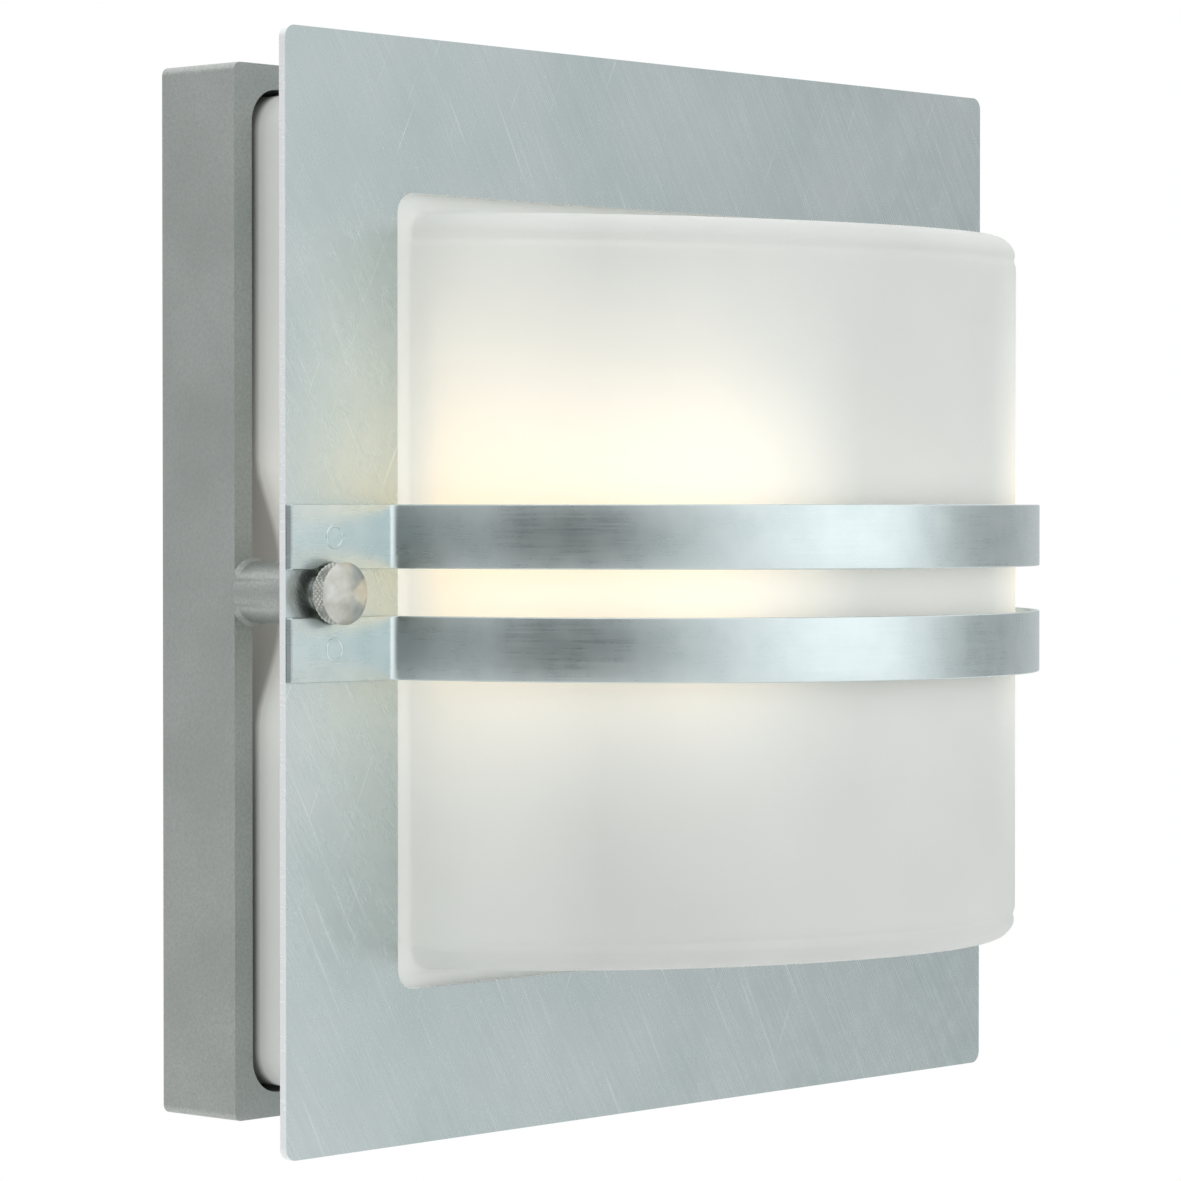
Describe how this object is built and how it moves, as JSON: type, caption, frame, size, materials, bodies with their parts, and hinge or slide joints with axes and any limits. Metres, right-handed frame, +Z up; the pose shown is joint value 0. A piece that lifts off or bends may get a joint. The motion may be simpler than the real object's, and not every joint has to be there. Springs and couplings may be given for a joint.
{
  "type": "outdoor wall lantern",
  "caption": "Square cast wall lantern with a bulged frosted glass in a galvanised front frame, bowed guard bands and knurled thumb screws.",
  "frame": {"origin": "centre of the box's back face, which lies on the wall", "axes": "+Y into the wall, the front faces -Y, +X to the right seen from the front, +Z up"},
  "size_m": [0.26, 0.1421, 0.26],
  "materials": {
    "cast_box": "fine sand-cast satin",
    "galvanised_steel": "galvanised, fine brushed",
    "galvanised_band": "galvanised, smooth",
    "stainless": "polished",
    "zinc_steel": "zinc plated",
    "frosted_glass": "frosted, opal",
    "bulb_glass": "frosted inside",
    "clear_glass": "clear",
    "black_glass": "glossy",
    "cap_metal": "bright",
    "filament_wire": "drawn wire",
    "brass": "machined",
    "porcelain": "glazed",
    "white_paint": "white powder coat",
    "rubber": "matt",
    "black_plastic": "matt",
    "brown_sleeve": "silicone sleeve",
    "blue_sleeve": "silicone sleeve",
    "green_sleeve": "silicone sleeve"
  },
  "bodies": {
    "housing": {"back_box": "cast_box", "pillar_inserts": "brass", "cable_grommet": "rubber", "glass_gasket": "rubber", "reflector_plate": "white_paint", "reflector_screws": "zinc_steel", "holder_bracket": "zinc_steel", "bracket_screws": "zinc_steel", "bracket_nuts": "zinc_steel", "lamp_holder": "porcelain", "holder_nipple": "brass", "holder_nut": "zinc_steel", "holder_shell": "brass", "holder_contact": "brass", "terminal_block": "porcelain", "terminal_sleeves": "brass", "terminal_screws": "zinc_steel", "cable_clamp": "black_plastic", "clamp_screws": "zinc_steel", "earth_screw": "brass", "earth_lug": "zinc_steel", "live_wire": "brown_sleeve", "neutral_wire": "blue_sleeve", "earth_wire": "green_sleeve"},
    "front_frame": {"front_plate": "galvanised_steel", "upper_band": "galvanised_band", "lower_band": "galvanised_band"},
    "glass": {"glass_diffuser": "frosted_glass"},
    "left_washer": {"left_screw_washer": "stainless"},
    "right_washer": {"right_screw_washer": "stainless"},
    "left_screw": {"left_thumb_screw": "stainless"},
    "right_screw": {"right_thumb_screw": "stainless"},
    "lamp": {"bulb_glass": "bulb_glass", "bulb_cap": "cap_metal", "bulb_insulator": "black_glass", "bulb_contact": "cap_metal", "bulb_stem": "clear_glass", "bulb_filament": "filament_wire"}
  },
  "joints": [
    {"name": "frame_removal", "type": "slide", "parent": "housing", "child": "front_frame", "axis": [0, -1, 0], "range_m": [0, 0.16]},
    {"name": "glass_removal", "type": "slide", "parent": "housing", "child": "glass", "axis": [0, -1, 0], "range_m": [0, 0.08]},
    {"name": "left_screw_travel", "type": "slide", "parent": "front_frame", "child": "left_washer", "axis": [0, -1, 0], "range_m": [0, 0.0064]},
    {"name": "left_screw_turn", "type": "hinge", "parent": "left_washer", "child": "left_screw", "pos_m": [-0.117, -0.0484, 0], "axis": [0, -1, 0], "range_deg": [0, 2880]},
    {"name": "right_screw_travel", "type": "slide", "parent": "front_frame", "child": "right_washer", "axis": [0, -1, 0], "range_m": [0, 0.0064]},
    {"name": "right_screw_turn", "type": "hinge", "parent": "right_washer", "child": "right_screw", "pos_m": [0.117, -0.0484, 0], "axis": [0, -1, 0], "range_deg": [0, 2880]},
    {"name": "lamp_unscrew", "type": "slide", "parent": "housing", "child": "lamp", "axis": [0, 0, 1], "range_m": [0, 0.022]}
  ],
  "couplings": [
    {"joint": "glass_removal", "follows": "frame_removal", "ratio": 0.5},
    {"joint": "left_screw_travel", "follows": "left_screw_turn", "m_per_rad": 0.00012732},
    {"joint": "right_screw_travel", "follows": "right_screw_turn", "m_per_rad": 0.00012732}
  ]
}
